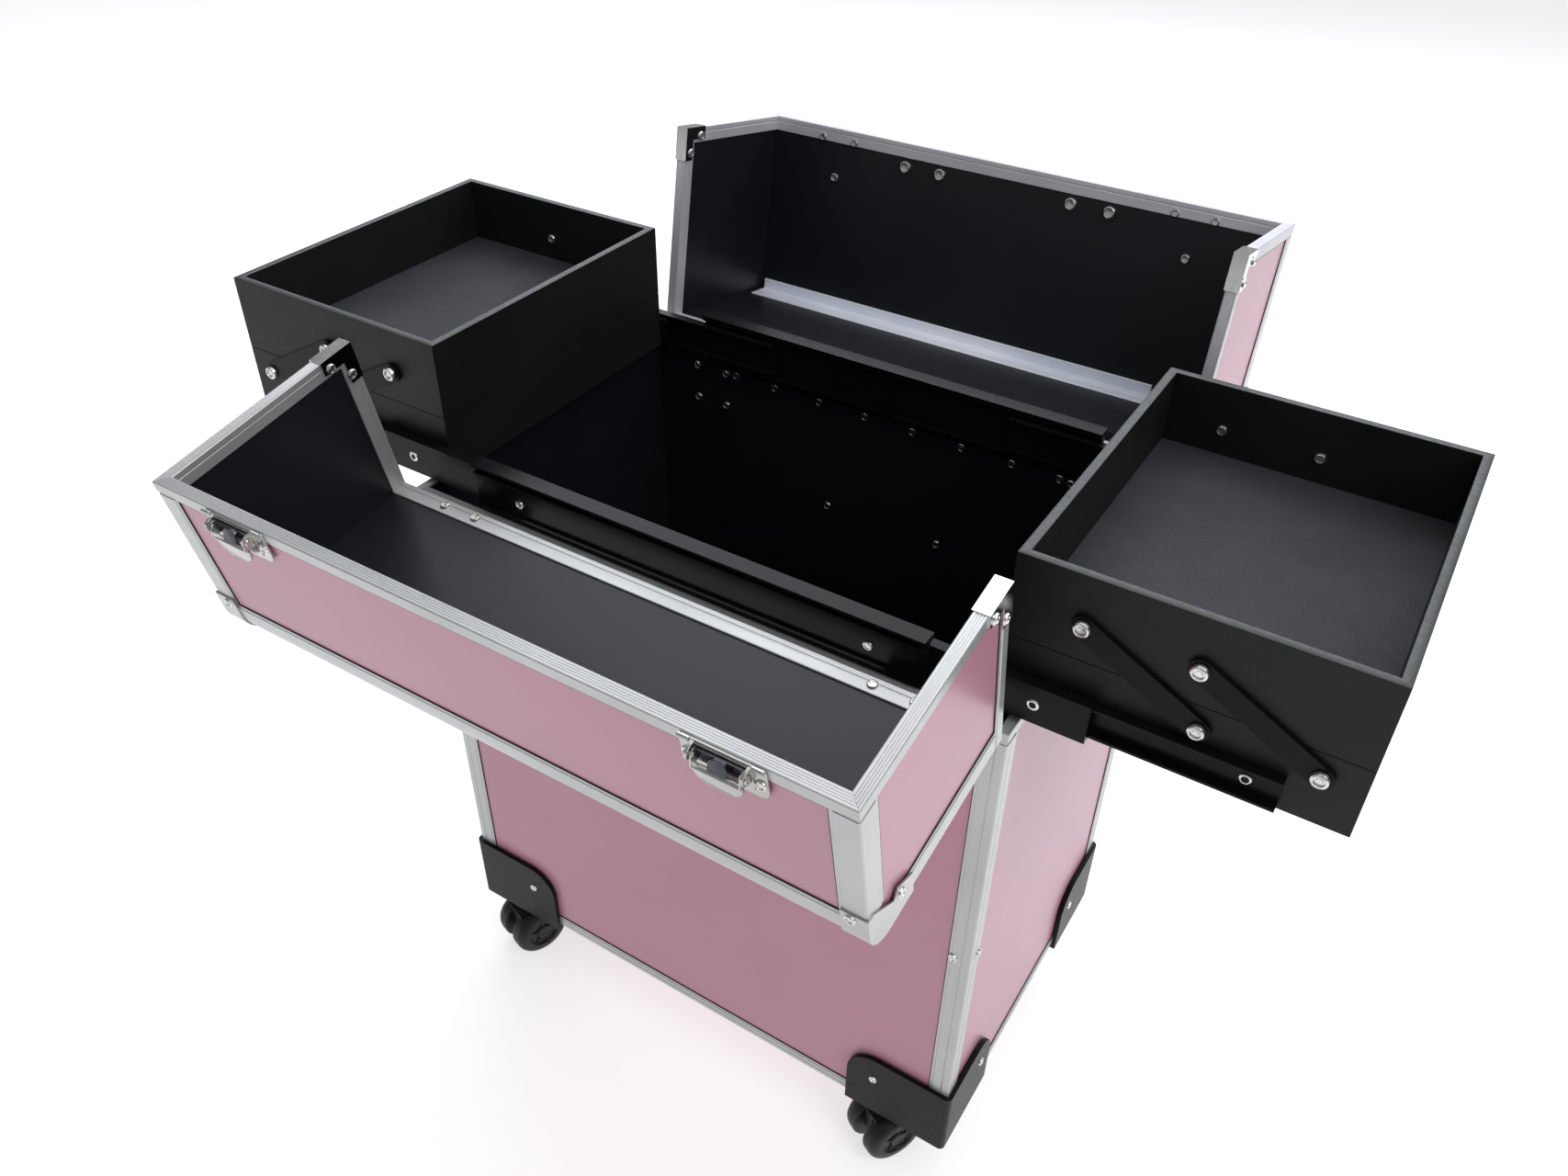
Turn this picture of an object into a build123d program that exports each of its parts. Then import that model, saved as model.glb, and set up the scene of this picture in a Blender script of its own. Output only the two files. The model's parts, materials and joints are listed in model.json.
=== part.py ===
from build123d import *
import os

# Rolling makeup train case, drawn open: both half lids folded out and both tray units slid out
# over the end walls. Millimetres, +Z up, X across the width, +Y to the back, floor at Z = 0.

# ---- driving dimensions -------------------------------------------------------------------
CASE_W = 400.0            # outside width of body and lids
CASE_D = 252.0            # outside depth of the body
BODY_H = 377.0            # body box, underside to rim
BODY_Z0 = 53.0            # underside of the body box above the floor
Y_OFFSET = -4.55          # centre of the body relative to the centre of the open footprint

SKIN = 1.2                # wall of the aluminium extrusions
BOARD = 4.0               # laminated board
LINING = 0.8              # black inner lining
RIM_LEG = 8.0             # outer leg of the channel on every free board edge
RIM_INNER_LEG = 10.5      # its inner leg
CORNER_LEG = 14.0         # legs of the corner extrusions
CORNER_R = 1.2            # outer radius of the corner extrusions
SILL_LEG = 10.0           # legs of the extrusions round the bottom of the body
LID_R = 17.0              # rounding of the long outer edge of each lid
LID_ROUND_LEG = 25.5      # legs of the extrusion on that edge

LID_H = 129.0             # height of both half lids
FRONT_LID_D = 109.5       # depth of the front half lid
SPLIT_GAP = 1.0           # gap between the closed half lids
LID_GAP = 0.5             # gap between the body rim and a closed lid
FRONT_LID_OPEN = 100.8    # opening angles of the lids, degrees
REAR_LID_OPEN = 100.2
HINGE_OUT = 7.2           # hinge axis in front of the body face
HINGE_DROP = 0.8          # hinge axis below the rim
FRONT_HINGE_X = 144.0     # middle of each hinge along the width
REAR_HINGE_X = 104.0
HINGE_W = 40.0
KNUCKLE_R = 4.5
HINGE_PIN_R = 1.5

TRAY_X0 = 183.6           # inner end of an extended tray unit
TRAY_L = 172.0
TRAY_D = 215.0
TRAY_WALL = 5.0
TRAY_FLOOR = 4.0
LOWER_TRAY_Z = 4.5        # heights above the body rim
LOWER_TRAY_H = 40.5
UPPER_TRAY_Z = 45.5
UPPER_TRAY_H = 47.5
TRAY_TRAVEL = 178.0       # tray slide, out to in
TRAY_LINING = 1.0

ARM_LOW_X = (281.0, 336.0)    # lower arm pivots, inboard then outboard
ARM_LOW_Z = 33.0              # above the body rim
ARM_RUN = -60.5               # upper pivot from lower pivot, along X and Z
ARM_RISE = 33.0
ARM_W = 12.0
ARM_T = 2.0
PIVOT_R = 2.5
RUN_FIT = 0.05                # radial clearance of every turning fit
SIDE_GAP = 0.5                # gap beside every turning plate

SLIDE_L = 145.0           # each of the three members of a telescopic slide
SLIDE_T = 1.5             # sheet of the slide members
SLIDE_Z = 16.0            # middle of the slides above the rim
FIXED_H = 32.0
MID_H = 23.0
INNER_H = 18.0
FIXED_X0 = 5.0            # inner end of the fixed member from the case centre
CARRIER_T = 1.2
CARRIER_L = 300.0
CARRIER_TOP = 34.0        # above the rim
CARRIER_LOW = 6.0         # below the rim

WHEEL_R = 22.0
WHEEL_T = 14.0
WHEEL_X = 4.6             # inner face of each twin wheel from the caster's middle
AXLE_R = 3.0
CASTER_TRAIL = 21.0
CASTER_TURN = (-18.0, 12.0, -28.0, -20.0)    # front left, rear left, front right, rear right
CASTER_AT = (163.0, 96.0)     # swivel axis from the body centre
STEM_R = 4.0
BRACKET_T = 3.0
BRACKET = (72.0, 63.0, 55.0)  # corner bracket along X, Y and up

LATCH_X = 140.0
CATCH_X = 137.75
HANDLE_BOLT_X = (51.0, 79.5)
HANDLE_FOOT_X = 65.25
HANDLE_REACH = 45.0
HANDLE_HANG = 10.2        # angle from flat on the lid to hanging straight down

GUIDE_X = 147.0           # pull handle guide tubes on the back wall
GUIDE_W = 20.0
GUIDE_D = 12.0
STAY_W = 15.0
STAY_D = 7.0

RIM_Z = BODY_Z0 + BODY_H
HALF_W = CASE_W / 2
HALF_D = CASE_D / 2
REAR_LID_D = CASE_D - FRONT_LID_D - SPLIT_GAP
WALL = SKIN + BOARD + LINING          # outer face to lined inner face
RIM_W = WALL + SKIN                   # width over a rim channel
HINGE_Y = HALF_D + HINGE_OUT
HINGE_Z = RIM_Z - HINGE_DROP
LID_Z0 = RIM_Z + LID_GAP
LID_Z1 = LID_Z0 + LID_H

X = Vector(1, 0, 0)
Y = Vector(0, 1, 0)
Z = Vector(0, 0, 1)
SIDES = {"left": -1, "right": 1}

nodes = {}


# ---- small makers -------------------------------------------------------------------------
def block(xs, ys, zs):
    """Box between two limits on each axis, given in any order."""
    low = [min(pair) for pair in (xs, ys, zs)]
    size = [abs(pair[1] - pair[0]) for pair in (xs, ys, zs)]
    return Pos(*low) * Box(*size, align=(Align.MIN, Align.MIN, Align.MIN))


def rod(start, direction, radius, length):
    """Cylinder from a start point along a direction."""
    return Plane(origin=start, z_dir=direction) * Cylinder(
        radius, length, align=(Align.CENTER, Align.CENTER, Align.MIN)
    )


def dome_head(radius, height):
    """Round rivet head standing on the XY plane."""
    head = Cylinder(radius, height, align=(Align.CENTER, Align.CENTER, Align.MIN))
    return fillet(head.edges().sort_by(Axis.Z)[-1], height * 0.8)


HEADS = {
    "rivet": dome_head(3.0, 1.2),
    "bolt": dome_head(4.6, 2.4),
    "screw": dome_head(3.4, 1.6),
    "flush": dome_head(3.2, 0.4),
}


def head(kind, point, normal):
    """One fastener head on a face."""
    return Plane(origin=point, z_dir=normal) * HEADS[kind]


def corner_bar(start, end, leg_dir_1, leg_dir_2, leg_1=CORNER_LEG, leg_2=CORNER_LEG):
    """L extrusion with a rounded outer corner between two points of a box edge."""
    along = leg_dir_1.cross(leg_dir_2)
    if along.dot(end - start) < 0:
        start, end = end, start
    outline = Rectangle(leg_1, leg_2, align=(Align.MIN, Align.MIN))
    outline -= Pos(SKIN, SKIN) * Rectangle(leg_1, leg_2, align=(Align.MIN, Align.MIN))
    outer_corner = outline.vertices().sort_by_distance((0, 0, 0))[0]
    outline = fillet(outer_corner, CORNER_R)
    plane = Plane(origin=start, x_dir=leg_dir_1, z_dir=along)
    return extrude(plane * outline, amount=(end - start).length)


def rim_bar(start, end, inward, back, inner_leg=True, trim=0.0):
    """Channel over a board edge: a web on the edge and legs running back over both faces.

    The inner leg can be left out, or cut short by trim at both ends.
    """
    along = inward.cross(back)
    if along.dot(end - start) < 0:
        start, end = end, start
    length = (end - start).length
    plane = Plane(origin=start, x_dir=inward, z_dir=along)
    outline = Rectangle(RIM_W if inner_leg else WALL, SKIN, align=(Align.MIN, Align.MIN))
    outline += Rectangle(SKIN, RIM_LEG, align=(Align.MIN, Align.MIN))
    bar = extrude(plane * outline, amount=length)
    if inner_leg:
        leg = Pos(WALL, 0) * Rectangle(SKIN, RIM_INNER_LEG, align=(Align.MIN, Align.MIN))
        bar += extrude(plane.offset(trim) * leg, amount=length - 2 * trim)
    return bar


def add(name, solids, moved=None):
    """File solids under a node, after an optional move."""
    for solid in solids:
        placed = solid if moved is None else moved(solid)
        nodes.setdefault(name, []).append(Pos(0, Y_OFFSET, 0) * placed)


# ---- body ---------------------------------------------------------------------------------
def make_body():
    x_in, y_in = HALF_W - SKIN, HALF_D - SKIN
    z_low, z_high = BODY_Z0 + SKIN, RIM_Z - SKIN
    floor_top = z_low + BOARD
    boards = [block((-x_in, x_in), (-y_in, y_in), (z_low, floor_top))]
    linings = []
    inner_x, inner_y = x_in - BOARD, y_in - BOARD
    lined_x, lined_y = inner_x - LINING, inner_y - LINING
    for side in (-1, 1):
        boards.append(block((-x_in, x_in), (side * y_in, side * inner_y), (floor_top, z_high)))
        boards.append(block((side * x_in, side * inner_x), (-inner_y, inner_y), (floor_top, z_high)))
        linings.append(block((-inner_x, inner_x), (side * inner_y, side * lined_y), (floor_top, z_high)))
        linings.append(block((side * inner_x, side * lined_x), (-lined_y, lined_y), (floor_top, z_high)))
    linings.append(block((-lined_x, lined_x), (-lined_y, lined_y), (floor_top, floor_top + LINING)))
    add("body_panels", boards)
    add("body_lining", linings)


def make_body_frame():
    bars = []
    for sx in (-1, 1):
        for sy in (-1, 1):
            low = Vector(sx * HALF_W, sy * HALF_D, BODY_Z0 + SILL_LEG)
            top = Vector(sx * HALF_W, sy * HALF_D, RIM_Z - RIM_LEG)
            bars.append(corner_bar(low, top, X * -sx, Y * -sy))
    for s in (-1, 1):
        bars.append(
            corner_bar(
                Vector(-HALF_W, s * HALF_D, BODY_Z0), Vector(HALF_W, s * HALF_D, BODY_Z0),
                Y * -s, Z, SILL_LEG, SILL_LEG,
            )
        )
        bars.append(
            corner_bar(
                Vector(s * HALF_W, SILL_LEG - HALF_D, BODY_Z0), Vector(s * HALF_W, HALF_D - SILL_LEG, BODY_Z0),
                X * -s, Z, SILL_LEG, SILL_LEG,
            )
        )
        bars.append(
            rim_bar(
                Vector(-HALF_W, s * HALF_D, RIM_Z), Vector(HALF_W, s * HALF_D, RIM_Z),
                Y * -s, Z * -1, inner_leg=False,
            )
        )
        bars.append(
            rim_bar(
                Vector(s * HALF_W, WALL - HALF_D, RIM_Z), Vector(s * HALF_W, HALF_D - WALL, RIM_Z),
                X * -s, Z * -1, inner_leg=False,
            )
        )
    add("body_frame", bars)


def make_corner_brackets():
    """Moulded caster corners: two wings, a plate underneath and a bore for the caster stem."""
    wing_x, wing_y, wing_z = BRACKET
    for sx in (-1, 1):
        for sy in (-1, 1):
            x_out, y_out = sx * (HALF_W + BRACKET_T), sy * (HALF_D + BRACKET_T)
            x_end, y_end = sx * (HALF_W - wing_x), sy * (HALF_D - wing_y)
            z_low, z_high = BODY_Z0 - BRACKET_T, BODY_Z0 + wing_z
            front_wing = block((x_out, x_end), (y_out, sy * HALF_D), (z_low, z_high))
            side_wing = block((x_out, sx * HALF_W), (y_out, y_end), (z_low, z_high))
            front_tip = front_wing.edges().filter_by(Axis.Y).filter_by_position(Axis.Z, z_high - 1, z_high + 1)
            front_wing = fillet(front_tip.sort_by_distance((x_end, y_out, z_high))[0], 22.0)
            side_tip = side_wing.edges().filter_by(Axis.X).filter_by_position(Axis.Z, z_high - 1, z_high + 1)
            side_wing = fillet(side_tip.sort_by_distance((x_out, y_end, z_high))[0], 22.0)
            plate = block((x_out, x_end), (y_out, y_end), (z_low, BODY_Z0))
            bracket = front_wing + side_wing + plate
            stem_at = (sx * CASTER_AT[0], sy * CASTER_AT[1], z_low - 1)
            bracket -= rod(stem_at, Z, STEM_R + RUN_FIT, BRACKET_T + 2)
            upright = bracket.edges().filter_by(Axis.Z).sort_by_distance((x_out, y_out, z_low))[0]
            add("corner_brackets", [fillet(upright, 4.0)])


def make_body_fasteners():
    rivets = []
    for sx in (-1, 1):
        for sy in (-1, 1):
            bracket_z = BODY_Z0 + 34
            mid_z = BODY_Z0 + 193
            rivets.append(head("rivet", (sx * 148, sy * (HALF_D + BRACKET_T), bracket_z), Y * sy))
            rivets.append(head("rivet", (sx * (HALF_W + BRACKET_T), sy * 78, bracket_z), X * sx))
            rivets.append(head("rivet", (sx * (HALF_W - 11), sy * HALF_D, mid_z), Y * sy))
            rivets.append(head("rivet", (sx * HALF_W, sy * (HALF_D - 11), mid_z), X * sx))
            carrier_face = sy * (HALF_D - WALL)
            rivets.append(head("rivet", (sx * 117, carrier_face, RIM_Z + 15), Y * sy))
    liner_y = HALF_D - WALL
    for at_x in (18.5, 55.5, 92.5, 126.0):
        for sx in (-1, 1):
            rivets.append(head("flush", (sx * at_x, liner_y, RIM_Z - 10.3), Y * -1))
    bolts = []
    for sx in (-1, 1):
        for at_x in (GUIDE_X - 12.5, GUIDE_X + 12.5):
            for at_z in (10.5, 36.7):
                bolts.append(head("screw", (sx * at_x, liner_y, RIM_Z - at_z), Y * -1))
        bolts.append(head("screw", (sx * 45, liner_y, RIM_Z - 93.5), Y * -1))
    add("body_rivets", rivets)
    add("back_wall_bolts", bolts)


# ---- slides -------------------------------------------------------------------------------
def channel(xs, web_y, flange_y, height):
    """Sheet channel of a slide member: a web with a flange along its top and bottom."""
    z_low, z_high = RIM_Z + SLIDE_Z - height / 2, RIM_Z + SLIDE_Z + height / 2
    toward = 1 if abs(flange_y) > abs(web_y) else -1
    sign = 1 if web_y > 0 else -1
    web_end = web_y + sign * toward * SLIDE_T
    member = block(xs, (web_y, web_end), (z_low, z_high))
    member += block(xs, (web_y, flange_y), (z_low, z_low + SLIDE_T))
    member += block(xs, (web_y, flange_y), (z_high - SLIDE_T, z_high))
    return member


def make_carriers():
    """Black carrier plates that stand up from inside the front and back walls."""
    for sy in (-1, 1):
        face = sy * (HALF_D - WALL)
        xs = (-CARRIER_L / 2, CARRIER_L / 2)
        plate = block(xs, (face, face - sy * CARRIER_T), (RIM_Z - CARRIER_LOW, RIM_Z + CARRIER_TOP))
        for lip_z, lip_y in ((CARRIER_TOP - 1.5, 4.0), (26.0, 2.0), (5.0, 2.0), (CARRIER_TOP - 1.5, -6.4)):
            plate += block(xs, (face, face + sy * lip_y), (RIM_Z + lip_z, RIM_Z + lip_z + 1.5))
        add("rail_carriers", [plate])


def make_slides():
    tray_face = TRAY_D / 2
    fixed_web = HALF_D - WALL - CARRIER_T
    mid_web = fixed_web - SLIDE_T - 0.8
    inner_x1 = TRAY_X0 + 139.4
    mid_x1 = inner_x1 - TRAY_TRAVEL / 2
    for side, sx in SIDES.items():
        for sy in (-1, 1):
            fixed_xs = (sx * FIXED_X0, sx * (FIXED_X0 + SLIDE_L))
            mid_xs = (sx * (mid_x1 - SLIDE_L), sx * mid_x1)
            inner_xs = (sx * (inner_x1 - SLIDE_L), sx * inner_x1)
            add("fixed_slides", [channel(fixed_xs, sy * fixed_web, sy * (fixed_web - 5.2), FIXED_H)])
            add(f"mid_slides_{side}", [channel(mid_xs, sy * mid_web, sy * (mid_web - 6.0), MID_H)])
            inner = channel(inner_xs, sy * tray_face, sy * (tray_face + 6.4), INNER_H)
            add(f"inner_slides_{side}", [inner])
            mid_rivet = (sx * (mid_x1 - 28), sy * mid_web, RIM_Z + SLIDE_Z)
            add(f"mid_slides_{side}", [head("flush", mid_rivet, Y * sy)])
            inner_rivet = (sx * (inner_x1 - 16), sy * (tray_face + SLIDE_T), RIM_Z + SLIDE_Z)
            add(f"inner_slides_{side}", [head("rivet", inner_rivet, Y * sy)])


# ---- trays --------------------------------------------------------------------------------
def tray_boards(sx, z_low, height):
    """Open box of five boards, glued face to face."""
    x0, x1 = TRAY_X0, TRAY_X0 + TRAY_L
    half = TRAY_D / 2
    z_high = RIM_Z + z_low + height
    z_low = RIM_Z + z_low
    boards = []
    for sy in (-1, 1):
        boards.append(block((sx * x0, sx * x1), (sy * half, sy * (half - TRAY_WALL)), (z_low, z_high)))
    for end_x in ((x0, x0 + TRAY_WALL), (x1 - TRAY_WALL, x1)):
        ys = (TRAY_WALL - half, half - TRAY_WALL)
        boards.append(block((sx * end_x[0], sx * end_x[1]), ys, (z_low, z_high)))
    xs = (sx * (x0 + TRAY_WALL), sx * (x1 - TRAY_WALL))
    ys = (TRAY_WALL - half, half - TRAY_WALL)
    boards.append(block(xs, ys, (z_low, z_low + TRAY_FLOOR)))
    floor_top = z_low + TRAY_FLOOR
    lining = block(xs, ys, (floor_top, floor_top + TRAY_LINING))
    return boards, lining


def pivot_rivet(x, sy, z):
    """Shouldered rivet: a head inside the tray, a shank through the wall and the arm, a head outside."""
    face = TRAY_D / 2
    shank_len = ARM_T + 2 * SIDE_GAP
    inner_face = face - TRAY_WALL
    parts = rod((x, sy * inner_face, z), Y * sy, PIVOT_R, TRAY_WALL + shank_len)
    parts += head("screw", (x, sy * inner_face, z), Y * -sy)
    parts += head("bolt", (x, sy * (face + shank_len), z), Y * sy)
    return parts


def make_arm(sx, sy, low_x):
    """Flat bar with round ends and a bore at each end."""
    y_in = TRAY_D / 2 + SIDE_GAP
    low = Vector(sx * low_x, 0, RIM_Z + ARM_LOW_Z)
    high = low + Vector(sx * ARM_RUN, 0, ARM_RISE)
    along = high - low
    bar_plane = Plane(origin=(low.X, sy * y_in, low.Z), x_dir=along, z_dir=Y * sy)
    outline = Pos(along.length / 2, 0) * SlotCenterToCenter(along.length, ARM_W)
    arm = extrude(bar_plane * outline, amount=ARM_T)
    for pivot in (low, high):
        arm -= rod((pivot.X, sy * (y_in - 1), pivot.Z), Y * sy, PIVOT_R + RUN_FIT, ARM_T + 2)
    return arm


def make_trays():
    for side, sx in SIDES.items():
        for level, z_low, height, pivots in (
            ("lower", LOWER_TRAY_Z, LOWER_TRAY_H, [(x, ARM_LOW_Z) for x in ARM_LOW_X]),
            ("upper", UPPER_TRAY_Z, UPPER_TRAY_H, [(x + ARM_RUN, ARM_LOW_Z + ARM_RISE) for x in ARM_LOW_X]),
        ):
            boards, lining = tray_boards(sx, z_low, height)
            for at_x, at_z in pivots:
                for sy in (-1, 1):
                    bore_from = (sx * at_x, sy * (TRAY_D / 2 + 1), RIM_Z + at_z)
                    wall = 0 if sy < 0 else 1
                    boards[wall] -= rod(bore_from, Y * -sy, PIVOT_R, TRAY_WALL + 2)
                    add(f"{level}_pivots_{side}", [pivot_rivet(sx * at_x, sy, RIM_Z + at_z)])
            add(f"{level}_tray_{side}", boards)
            add(f"{level}_lining_{side}", [lining])
        for name, low_x in zip(("inboard", "outboard"), ARM_LOW_X):
            add(f"{name}_arms_{side}", [make_arm(sx, sy, low_x) for sy in (-1, 1)])


# ---- lids ---------------------------------------------------------------------------------
class Lid:
    """One half lid, drawn shut and then turned open about its hinge axis."""

    def __init__(self, name, sy, depth, open_angle):
        self.name = name
        self.sy = sy
        self.back = sy * HALF_D
        self.split = sy * (HALF_D - depth)
        self.into = Y * -sy
        hinge = Axis((0, sy * HINGE_Y, HINGE_Z), (1, 0, 0))
        self.turn = lambda solid: solid.rotate(hinge, -sy * open_angle)

    def y(self, inset):
        """Place inset from the hinge-side face towards the split."""
        return self.back - self.sy * inset

    def from_split(self, inset):
        """Place inset from the split towards the hinge side."""
        return self.split + self.sy * inset

    def add(self, node, solids):
        add(node, solids, self.turn)

    def rounded(self, inset, radius, length, leg=None):
        """Bar along X under the long outer edge: whole, or an angle of skin with legs."""
        plane = Plane(
            origin=(-length / 2, self.y(inset), LID_Z1 - inset), x_dir=self.into, z_dir=self.into.cross(Z * -1)
        )
        size = leg or 2 * CASE_D
        outline = Rectangle(size, size, align=(Align.MIN, Align.MIN))
        outline = fillet(outline.vertices().sort_by_distance((0, 0, 0))[0], radius)
        if leg:
            core = Rectangle(size, size, align=(Align.MIN, Align.MIN))
            core = fillet(core.vertices().sort_by_distance((0, 0, 0))[0], radius - SKIN)
            outline -= Pos(SKIN, SKIN) * core
        return extrude(plane * outline, amount=length * self.into.cross(Z * -1).dot(X))


def make_lid_shell(lid):
    x_out, x_in = HALF_W - SKIN, HALF_W - SKIN - BOARD
    x_lined = x_in - LINING
    z_low, z_high = LID_Z0 + SKIN, LID_Z1 - SKIN
    y_face, y_in, y_lined = lid.y(SKIN), lid.y(SKIN + BOARD), lid.y(WALL)
    y_split = lid.from_split(SKIN)
    z_in, z_lined = z_high - BOARD, z_high - BOARD - LINING
    panels = [
        block((-x_out, x_out), (y_face, y_in), (z_low, z_high)),
        block((-x_out, x_out), (y_in, y_split), (z_in, z_high)),
    ]
    linings = [
        block((-x_in, x_in), (y_in, y_lined), (z_low, z_in)),
        block((-x_in, x_in), (y_lined, y_split), (z_lined, z_in)),
    ]
    for sx in (-1, 1):
        panels.append(block((sx * x_out, sx * x_in), (y_in, y_split), (z_low, z_in)))
        linings.append(block((sx * x_in, sx * x_lined), (y_lined, y_split), (z_low, z_lined)))
    envelope = lid.rounded(SKIN, LID_R - SKIN, CASE_W)
    lid.add(f"{lid.name}_panels", [panel & envelope for panel in panels])
    lid.add(f"{lid.name}_lining", [lining & envelope for lining in linings])


def make_lid_frame(lid):
    down = Z * -1
    away = lid.into * -1
    hinge_rim = rim_bar(
        Vector(-HALF_W, lid.back, LID_Z0), Vector(HALF_W, lid.back, LID_Z0), lid.into, Z, trim=RIM_W
    )
    split_rim = rim_bar(
        Vector(-HALF_W, lid.split, LID_Z1), Vector(HALF_W, lid.split, LID_Z1), down, away, trim=RIM_W
    )
    bars = [lid.rounded(0, LID_R, CASE_W, LID_ROUND_LEG)]
    for sx in (-1, 1):
        edge_x = sx * HALF_W
        inward = X * -sx
        split_y = lid.from_split(RIM_LEG)
        bars.append(
            corner_bar(
                Vector(edge_x, lid.y(LID_ROUND_LEG), LID_Z1), Vector(edge_x, split_y, LID_Z1), inward, down,
            )
        )
        bars.append(
            corner_bar(
                Vector(edge_x, lid.back, LID_Z0 + RIM_LEG), Vector(edge_x, lid.back, LID_Z1 - LID_ROUND_LEG),
                inward, lid.into,
            )
        )
        bars.append(
            rim_bar(Vector(edge_x, lid.y(RIM_W), LID_Z0), Vector(edge_x, split_y, LID_Z0), inward, Z)
        )
        bars.append(
            rim_bar(
                Vector(edge_x, lid.split, LID_Z0), Vector(edge_x, lid.split, LID_Z1 - RIM_W), inward, away,
            )
        )
        skin_xs = (edge_x, edge_x - sx * SKIN)
        hinge_rim += block(skin_xs, (lid.back, lid.y(RIM_W)), (LID_Z0, LID_Z0 + RIM_LEG))
        split_rim += block(skin_xs, (lid.split, split_y), (LID_Z1 - RIM_W, LID_Z1))
    lid.add(f"{lid.name}_frame", [hinge_rim, split_rim] + bars)


def make_lid_corners(lid):
    """Wrapped caps on the free corners and three-sided guards on the outer corners."""
    cap, guard = 0.8, 0.9
    cap_leg, cap_edge = 22.0, 0.4
    guard_w, guard_up, guard_along = 13.0, 30.0, 37.0
    for sx in (-1, 1):
        face, inner = sx * HALF_W, sx * (HALF_W - RIM_W)
        split_edge, low_edge = lid.split - lid.sy * cap_edge, LID_Z0 - cap_edge
        cap_solid = None
        for x0, x1 in ((face, face + sx * cap), (inner, inner - sx * cap)):
            plate = block((x0, x1), (split_edge, lid.from_split(cap_leg)), (low_edge, LID_Z0 + RIM_LEG))
            plate += block((x0, x1), (split_edge, lid.from_split(RIM_LEG)), (low_edge, LID_Z0 + cap_leg))
            cap_solid = plate if cap_solid is None else cap_solid + plate
        xs = (face + sx * cap, inner - sx * cap)
        cap_solid += block(xs, (split_edge, lid.from_split(cap_leg)), (low_edge, LID_Z0))
        cap_solid += block(xs, (split_edge, lid.split), (low_edge, LID_Z0 + cap_leg))
        lid.add(f"{lid.name}_corner_caps", [cap_solid])

        end_plane = Plane(origin=(face, lid.back, LID_Z1), x_dir=lid.into, z_dir=lid.into.cross(Z * -1))
        corners = [
            (-guard, -guard), (guard_up, -guard), (guard_up, 4), (16, 20), (21, guard_along - 13),
            (14, guard_along), (-guard, guard_along),
        ]
        outline = make_face(Polyline(corners, close=True))
        outline = fillet(outline.vertices().sort_by_distance((-guard, -guard, 0))[0], LID_R + guard)
        side = end_plane.z_dir.dot(X) * sx
        guard_solid = extrude(end_plane * outline, amount=side * guard)
        wrap = make_face(Polyline(corners[:2] + [(guard_up, 0), (0, 0), (0, guard_along)] + corners[-2:], close=True))
        wrap = fillet(wrap.vertices().sort_by_distance((-guard, -guard, 0))[0], LID_R + guard)
        wrap = fillet(wrap.vertices().sort_by_distance((0, 0, 0))[0], LID_R)
        guard_solid += extrude(end_plane * wrap, amount=-side * guard_w)
        lid.add(f"{lid.name}_corner_guards", [guard_solid])


def make_lid_rivets(lid, hinge_rivets):
    outer, inner = HALF_W, HALF_W - RIM_W
    cap, guard = 0.8, 0.9
    heads = []
    for sx in (-1, 1):
        for inset, lift in ((17.0, 6.0), (6.0, 17.0)):
            y, z = lid.from_split(inset), LID_Z0 + lift
            heads.append(head("rivet", (sx * (outer + cap), y, z), X * sx))
            heads.append(head("rivet", (sx * (inner - cap), y, z), X * -sx))
        heads.append(head("rivet", (sx * (outer - 8), lid.y(26), LID_Z1 + guard), Z))
        heads.append(head("rivet", (sx * (outer + guard), lid.y(14), LID_Z1 - 26), X * sx))
        for at_x in hinge_rivets:
            heads.append(head("rivet", (sx * at_x, lid.y(RIM_W), LID_Z0 + 5.0), lid.into))
    return heads


def make_lids():
    front = Lid("front_lid", -1, FRONT_LID_D, FRONT_LID_OPEN)
    rear = Lid("rear_lid", 1, REAR_LID_D, REAR_LID_OPEN)
    for lid in (front, rear):
        make_lid_shell(lid)
        make_lid_frame(lid)
        make_lid_corners(lid)
    front.add("front_lid_rivets", make_lid_rivets(front, (FRONT_HINGE_X - 12, FRONT_HINGE_X + 12)))
    rear_heads = make_lid_rivets(rear, (REAR_HINGE_X - 12, REAR_HINGE_X + 12))
    inside_top = LID_Z1 - WALL
    for sx in (-1, 1):
        for at_x in (CATCH_X - 13.75, CATCH_X + 13.75):
            at = (sx * at_x, rear.from_split(8.0), inside_top - SKIN)
            rear_heads.append(head("rivet", at, Z * -1))
        for at_x in HANDLE_BOLT_X:
            rear_heads.append(head("bolt", (sx * at_x, rear.from_split(17.0), inside_top), Z * -1))
        rear_heads.append(head("screw", (sx * 138, rear.from_split(36.0), inside_top), Z * -1))
    rear.add("rear_lid_rivets", rear_heads)
    strip_xs = (WALL - 196, 138)
    strip = block(strip_xs, (rear.y(WALL), rear.y(WALL + SKIN)), (inside_top, inside_top - 20))
    strip += block(strip_xs, (rear.y(WALL), rear.y(WALL + 9)), (inside_top, inside_top - SKIN))
    rear.add("rear_lid_frame", [strip])
    make_hinges(front, FRONT_HINGE_X)
    make_hinges(rear, REAR_HINGE_X)
    leaf_ys = (rear.y(WALL), rear.y(WALL + 1.2))
    for sx in (-1, 1):
        leaf = block((sx * 97, sx * 143), leaf_ys, (LID_Z0 + RIM_INNER_LEG + 0.5, LID_Z0 + 27))
        rear.add("rear_lid_hinge_leaves", [leaf])
    make_latches(front)
    make_catches(rear)
    make_carry_handle(rear)


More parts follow.
